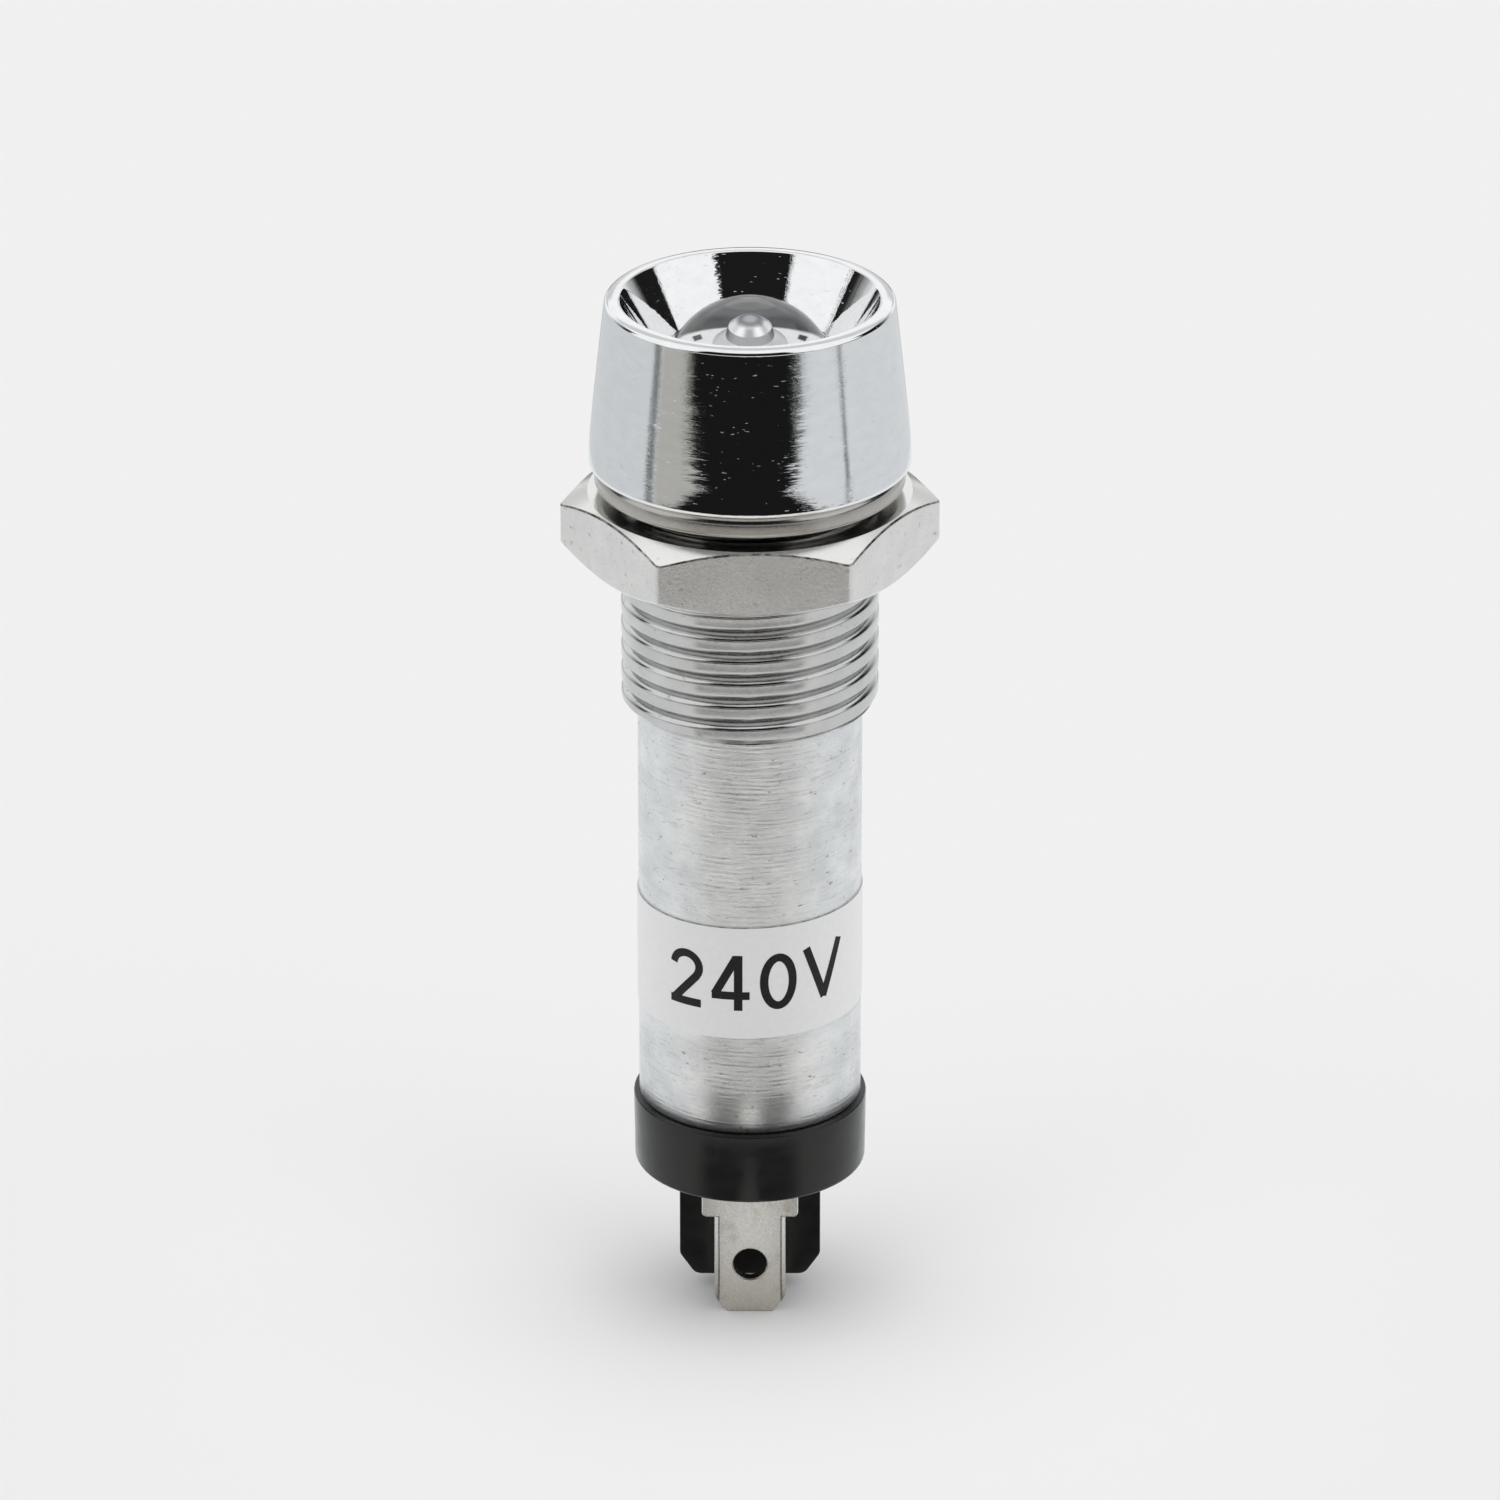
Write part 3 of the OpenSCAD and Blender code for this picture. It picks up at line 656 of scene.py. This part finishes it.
def make_nut(material, edge):
    """The hexagon nut: flats, conical chamfers that scallop them, eased edges and a countersunk bore."""
    segments = 432
    sink_r, inner_r = RUN_R + COUNTERSINK, NUT_FACE_R - 0.05
    corner_r = NUT_AF / 2 / math.cos(math.pi / 6) - NUT_CORNER_CUT

    def hexagon(turn):
        """Radius of the flats, with the corners cut off a little."""
        around = (TAU * turn - NUT_TURNED + math.pi / 6) % (math.pi / 3) - math.pi / 6
        flat_r = NUT_AF / 2 / math.cos(around)
        return min(flat_r, corner_r) if abs(around) > math.radians(29.3) else flat_r

    def level(r, z):
        return [ring_point(r, k / segments, z) for k in range(segments)]

    def side(sign, inset, lift):
        """A row beside the edge between the flats and the upper (1) or lower (-1) conical chamfer."""
        row = []
        for k in range(segments):
            r = hexagon(k / segments) - inset
            face = NUT_TOP if sign > 0 else NUT_LOW
            fall = max(0.0, r - NUT_FACE_R) * math.tan(NUT_SLOPE)
            row.append(ring_point(r, k / segments, face - sign * (fall + lift)))
        return row

    rows = [
        level(RUN_R, NUT_LOW + COUNTERSINK), level(sink_r, NUT_LOW),
        level(inner_r, NUT_LOW), level(NUT_FACE_R, NUT_LOW),
        side(-1, NUT_EASE, 0.0), side(-1, 0.0, NUT_EASE * 0.8),
        side(1, 0.0, NUT_EASE * 0.8), side(1, NUT_EASE, 0.0),
        level(NUT_FACE_R, NUT_TOP), level(inner_r, NUT_TOP),
        level(sink_r, NUT_TOP), level(RUN_R, NUT_TOP - COUNTERSINK),
    ]
    faces = []
    for i in range(len(rows)):
        a, b = i * segments, (i + 1) % len(rows) * segments
        for k in range(segments):
            m = (k + 1) % segments
            faces.append((a + k, a + m, b + m, b + k))
    verts = [v for row in rows for v in row]
    piece = object_from("nut_hexagon", verts, faces, "nut", ["hex_nut"], 22)
    put(piece, material)
    piece.data.materials.append(edge)
    shade_edge_row = 6  # the faces of the upper eased edge, which carry the painted shade
    for k in range(segments):
        piece.data.polygons[shade_edge_row * segments + k].material_index = 1


def label_lean(turn):
    """How far the tilt of the label lifts it, a share turn of the way round."""
    return math.tan(LABEL_TILT) * LABEL_R * math.sin(TAU * turn)


def make_label(material, edge):
    """The wrapped label: a thin band, its free end lapped over the other at the back."""
    segments, lap = 240, 6  # steps round the barrel, and those in which the free end rises
    inner, outer = BARREL_R + LABEL_GAP, LABEL_R - 0.012
    shares = [0.0, 0.012, 0.988, 1.0]  # of the label's width
    verts, faces = [], []
    for k in range(segments + 1):
        turn = 0.5 + k / segments
        low_z = LABEL_LOW + label_lean(turn)
        rise = max(0.0, 1 - (segments - k) / lap) * LAP_RISE
        for share in shares:
            dip = LABEL_CUT if share in (0.0, 1.0) else 0.0
            verts.append(ring_point(outer + rise - dip, turn, low_z + LABEL_W * share))
        for share in reversed(shares):
            verts.append(ring_point(inner + rise * 0.5, turn, low_z + LABEL_W * share))
    n = 2 * len(shares)
    for k in range(segments):
        for j in range(n):
            a, b = k * n + j, k * n + (j + 1) % n
            faces.append((a, b, b + n, a + n))
    faces += [tuple(range(n)), tuple(range(segments * n, segments * n + n))]
    piece = object_from("wrapped_label", verts, faces, "lamp_unit", ["rating_label"], 30)
    put(piece, material)
    piece.data.materials.append(edge)
    upper_cut = 2  # the face next to the label's upper edge, in each step round
    for k in range(segments):
        piece.data.polygons[k * n + upper_cut].material_index = 1


def stroke(points, width):
    """A flat ribbon along points, as (left, right) edge points."""
    left, right = [], []
    for i, p in enumerate(points):
        a = Vector(points[max(0, i - 1)])
        b = Vector(points[min(len(points) - 1, i + 1)])
        along = (b - a).normalized()
        side = Vector((-along.y, along.x)) * width / 2
        left.append(Vector(p) + side)
        right.append(Vector(p) - side)
    return left, right


def curve(cx, cy, rx, ry, a, b, n=18):
    steps = [math.radians(a + (b - a) * i / n) for i in range(n + 1)]
    return [(cx + rx * math.cos(t), cy + ry * math.sin(t)) for t in steps]


def line(a, b, n=8):
    return [(a[0] + (b[0] - a[0]) * i / n, a[1] + (b[1] - a[1]) * i / n) for i in range(n + 1)]


GLYPHS = {  # strokes of plain signs in a cell 0.64 wide and 1 high, as lists of points
    "2": [curve(0.32, 0.70, 0.25, 0.235, 176, -36) + line((0.50, 0.53), (0.07, 0.06)),
          line((0.0, 0.06), (0.60, 0.06))],
    "4": [line((0.44, 0.0), (0.44, 1.0)), line((0.415, 0.97), (0.04, 0.28)),
          line((-0.01, 0.27), (0.63, 0.27))],
    "0": [curve(0.31, 0.5, 0.245, 0.435, 90, 456, 41)],
    "V": [line((0.0, 1.0), (0.36, 0.04)), line((0.34, 0.04), (0.70, 1.0))],
}


def make_print(material, text="240V"):
    """A plain generic rating printed on the label: ribbons of ink that follow the paper."""
    height, weight, advance, aside = 2.36, 0.335, 1.9, 0.26
    ink_r, turned_on = LABEL_R - 0.004, 0.005
    middle = LABEL_LOW + LABEL_W * 0.5
    verts, faces = [], []
    for i, sign in enumerate(text):
        x0 = (i - len(text) / 2) * advance + aside
        for points in GLYPHS[sign]:
            scaled = [(x0 + x * height, middle + (y - 0.5) * height) for x, y in points]
            first = len(verts)
            for pair in zip(*stroke(scaled, weight)):
                for p in pair:
                    turn = p.x / (LABEL_R * TAU) + turned_on
                    verts.append(ring_point(ink_r, turn, p.y + label_lean(turn)))
            for k in range(len(points) - 1):
                a = first + 2 * k
                faces.append((a, a + 1, a + 3, a + 2))
    put(object_from("label_print", verts, faces, "lamp_unit", (), 60), material)


def make_base(plastic, tin):
    """The plug and the tabs, as the CAD has them, with eased edges."""
    put(eased_copy("plug_body", "base_plug", PLUG_EDGE, "lamp_unit"), plastic)
    put(eased_copy("front_tab", "front_terminal", TAB_EDGE, "lamp_unit"), tin)
    put(eased_copy("rear_tab", "rear_terminal", TAB_EDGE, "lamp_unit"), tin)


def dress_inside():
    """Finishes for the pieces inside the barrel."""
    bright = quiet("tinned", (0.74, 0.74, 0.72), 0.3, 1.0)
    for node in ("lamp_anode_lead", "lamp_cathode_lead", "resistor_leads", "diode_leads", "solder_joints"):
        put(nodes[node], bright)
    put(nodes["lamp_holder"], quiet("bush", (0.05, 0.05, 0.055), 0.5))
    put(nodes["anode_sleeve"], quiet("red_sleeve", (0.5, 0.06, 0.04), 0.5))
    put(nodes["cathode_sleeve"], quiet("black_sleeve", (0.03, 0.03, 0.03), 0.5))
    put(nodes["resistor_body"], quiet("resistor_coat", (0.62, 0.48, 0.30), 0.35))
    put(nodes["diode_body"], quiet("diode_coat", (0.03, 0.03, 0.03), 0.5))
    put(nodes["insulating_tube"], quiet("insulator", (0.72, 0.68, 0.58), 0.45))


# Studio: camera, floor, world and lamps


def make_camera():
    data = bpy.data.cameras.new("camera")
    data.lens = LENS_MM
    data.sensor_width = 36
    data.clip_end = 50
    cam = bpy.data.objects.new("camera", data)
    bpy.context.scene.collection.objects.link(cam)
    cam.location = (0, -CAMERA_AWAY * math.cos(PITCH_DOWN) * MM,
                    (AIM_Z + CAMERA_AWAY * math.sin(PITCH_DOWN)) * MM)
    cam.rotation_euler = (math.pi / 2 - PITCH_DOWN, 0, 0)
    bpy.context.scene.camera = cam


def floor_in_mirrors(p, x, y, r, turn, away):
    """The floor as mirrors see it, by place: pale near the part, and grey to the sides beyond, with the
    dark room in front. The metal's upright faces mirror rings of it, the lower ones the nearer rings."""
    # Places of equal level show at one height of the bezel: 112 to 200 on its foot, 256 at its rim
    level = p.times(r, p.plus(1.0, p.times(away, away, 0.000048)))
    step = p.ragged(p.times(level, 0.3), turn, 14.0)
    half = p.plus(p.map(level, 200.0, 226.0, 31.0, 40.5), p.map(level, 112.0, 200.0, 25.0, -2.0, "LINEAR"),
                  p.map(level, 226.0, 256.0, 0.0, 4.0))
    aside = p.size(p.plus(turn, ROOM_LEFT))
    room = p.times(p.map(p.minus(p.plus(aside, step), half), -1.5, 1.5, 1.0, 0.0),
                   p.map(r, 370.0, 410.0, 1.0, 0.0))
    behind = p.map(away, 163.0, 168.0, 0.0, 0.2)
    # A thin broken line on either side
    bent = p.plus(turn, p.times(step, 0.43))
    lines = p.most(p.between(bent, -78.0, -75.5, -71.5, -69.0), p.between(bent, 69.0, 70.5, 72.0, 73.5))
    along = p.add("CombineXYZ", X=p.times(r, 0.5)).outputs[0]
    lines = p.times(lines, p.map(p.noise(along, 3.0, 0.75), 0.42, 0.55, 0.3, 1.0), 0.92)
    # Dashes that the curve of the bezel's foot picks up
    grid = p.add("CombineXYZ", X=p.times(turn, 0.22), Y=p.times(level, 0.1)).outputs[0]
    dashes = p.times(p.map(p.noise(grid, 3.0, 0.7), 0.5, 0.6), p.map(level, 128.0, 150.0, 0.8, 0.0),
                     p.map(away, 85.0, 110.0, 1.0, 0.0))
    dark = p.most(room, dashes, behind, lines)
    near = p.mix(p.map(away, 30.0, 95.0, 1.0, 0.0), (0.88, 0.895, 0.90), (0.90, 0.88, 0.84))
    sides = p.mix(p.map(turn, -10.0, 10.0), (0.66, 0.68, 0.69), (0.71, 0.725, 0.735))
    sides = p.mix(p.between(turn, -72.0, -66.0, -40.0, -10.0), sides, (0.47, 0.46, 0.43))
    seen = p.mix(p.map(r, 93.0, 101.0), near, p.mix(dark, sides, grey(0.010)))
    # A grey ring for the thread's crests, and a shade in front of the plug that leaves the tab's lane pale
    ring = p.times(p.between(r, 58.0, 63.0, 74.0, 79.0), p.map(away, 44.0, 52.0, 0.8, 0.0))
    seen = p.mix(ring, seen, (0.19, 0.205, 0.235))
    lane = p.most(p.map(p.size(x), 1.5, 1.9), p.map(r, 18.0, 19.5))
    shade = p.times(p.map(away, 32.0, 52.0, 1.0, 0.0), lane, p.map(r, 24.5, 27.0, 0.8, 0.0))
    return p.mix(shade, seen, grey(0.02))


def make_floor():
    """A pale floor, with painted light that makes it a little paler round the part's foot, in front and to
    the sides, to lighten the part's own shadow there. Mirrors see their own picture of it.
    """
    size, z = 6.0, TIP_Z * MM
    mesh = bpy.data.meshes.new("floor")
    corners = [(-size, -size, z), (size, -size, z), (size, size, z), (-size, size, z)]
    mesh.from_pydata(corners, [], [(0, 1, 2, 3)])
    floor = bpy.data.objects.new("floor", mesh)
    bpy.context.scene.collection.objects.link(floor)
    p = Paint("floor")
    x, y = p.split(p.place())[:2]
    r, turn = p.distance(x, y), p.bearing(x, y)
    away = p.size(turn)
    # Painted light: a paler ring of floor from 3.5 to 36 mm round the foot, in front and to the sides,
    # lifting the part's shadow
    painted_floor_light = p.times(p.map(r, 3.5, 8.0), p.map(r, 10.0, 36.0, 1.0, 0.0), p.map(away, 95.0, 140.0, 1.0, 0.0))
    tone = p.mix(p.add("LightPath").outputs["Is Glossy Ray"], p.mix(painted_floor_light, grey(0.875), grey(0.935)),
                 floor_in_mirrors(p, x, y, r, turn, away))
    put(floor, p.set(Base_Color=tone, Roughness=0.9, Specular_IOR_Level=0.0))


def world_in_mirrors(p, rise, turn, away):
    """The world as mirrors and the lens see it: a white tent with a dark open front, a slit on either
    side, a dark line low on the right, and a low dark strip and grey panels at the back."""
    half = p.map(rise, 0.0, 18.0, 62.0, 38.6, "LINEAR")
    step = p.ragged(p.times(rise, 1.5), turn, 7.0)
    aside = p.size(p.plus(turn, ROOM_LEFT))
    front = p.times(p.map(p.minus(p.plus(aside, step), half), -1.0, 1.0, 1.0, 0.0),
                    p.between(rise, 1.5, 3.0, 48.0, 60.0))
    behind = p.times(p.map(away, 163.0, 168.0), p.map(rise, 3.0, 9.0, 1.0, 0.0))
    bent = p.plus(turn, step)
    outer = p.minus(bent, p.map(rise, 8.0, 14.0, 0.0, 9.0))
    right = p.times(p.map(bent, 95.0, 96.5), p.map(outer, 112.0, 150.0, 1.0, 0.0),
                    p.map(rise, 30.0, 36.0, 1.0, 0.0))
    left = p.times(p.between(bent, -145.0, -108.0, -104.5, -103.0), p.map(rise, 24.0, 30.0, 1.0, 0.0))
    above = p.minus(rise, p.map(turn, 50.0, 100.0, 1.0, 10.0, "LINEAR"))
    low_line = p.times(p.between(turn, 44.0, 48.0, 118.0, 124.0), p.map(above, -0.5, 0.5, 1.0, 0.0))
    high_panel = p.times(p.map(away, 130.0, 141.0), p.between(rise, 27.0, 32.0, 44.0, 56.0), 0.34)
    low_panel = p.times(p.between(away, 150.0, 160.0, 174.0, 179.0), p.between(rise, 5.0, 10.0, 19.5, 21.5),
                        0.34)
    dark = p.most(front, behind, right, left, low_line, high_panel, low_panel)
    return p.most(p.times(1.03, p.minus(1.0, dark)), 0.012)


def make_world():
    """Soft light, weaker from the front. Mirrors and the lens see the tent, the camera a plain grey."""
    world = bpy.data.worlds.new("studio")
    bpy.context.scene.world = world
    world.use_nodes = True
    p = Nodes(world.node_tree)
    p.tree.nodes.clear()
    x, y, z = p.split(p.add("TexCoord").outputs["Generated"])
    turn = p.bearing(x, y)
    away = p.size(turn)
    rise = p.times(p.calc("ARCSINE", z), 180 / math.pi)
    path = p.add("LightPath").outputs
    soft = p.plus(p.map(away, 10.0, 100.0, 0.38, 1.08), p.map(turn, -90.0, 90.0, -0.05, 0.05))
    soft = p.mix(p.map(rise, 40.0, 65.0), soft, grey(1.06))
    seen = p.most(path["Is Glossy Ray"], path["Is Transmission Ray"])
    light = p.mix(seen, soft, world_in_mirrors(p, rise, turn, away))
    light = p.mix(path["Is Camera Ray"], light, grey(0.855))
    shown = p.add("Background", Color=light, Strength=1.0)
    p.tree.links.new(shown.outputs[0], p.add("OutputWorld").inputs[0])


def make_lamps():
    """Two broad soft lamps, high on either side."""
    for side in (-1, 1):
        data = bpy.data.lights.new("soft", "SUN")
        data.energy = 0.12
        data.angle = math.radians(50)
        lamp = bpy.data.objects.new("soft", data)
        bpy.context.scene.collection.objects.link(lamp)
        lamp.rotation_euler = Vector((side * 0.75, -0.25, 1.0)).to_track_quat("Z", "Y").to_euler()
        lamp.visible_glossy = False


def build():
    bpy.context.scene.view_settings.view_transform = "Standard"
    make_camera()
    make_floor()
    make_world()
    make_lamps()
    make_bezel(chrome())
    make_lens(lens_glass(), lamp_reflector(), lamp_cup())
    make_barrel(barrel_plating())
    make_washer(nickel("washer_nickel", (0.45, 0.43, 0.405), (0.45, 0.437, 0.41), 0.16, 0.18, 0.004))
    make_nut(nickel("nut_nickel", (0.75, 0.745, 0.73), (0.78, 0.78, 0.77), 0.13, 0.22, 0.006), painted_shade_edge())
    make_label(paper(), paper_edge())
    make_print(ink())
    make_base(black_plastic(), tab_tin())
    dress_inside()


build()
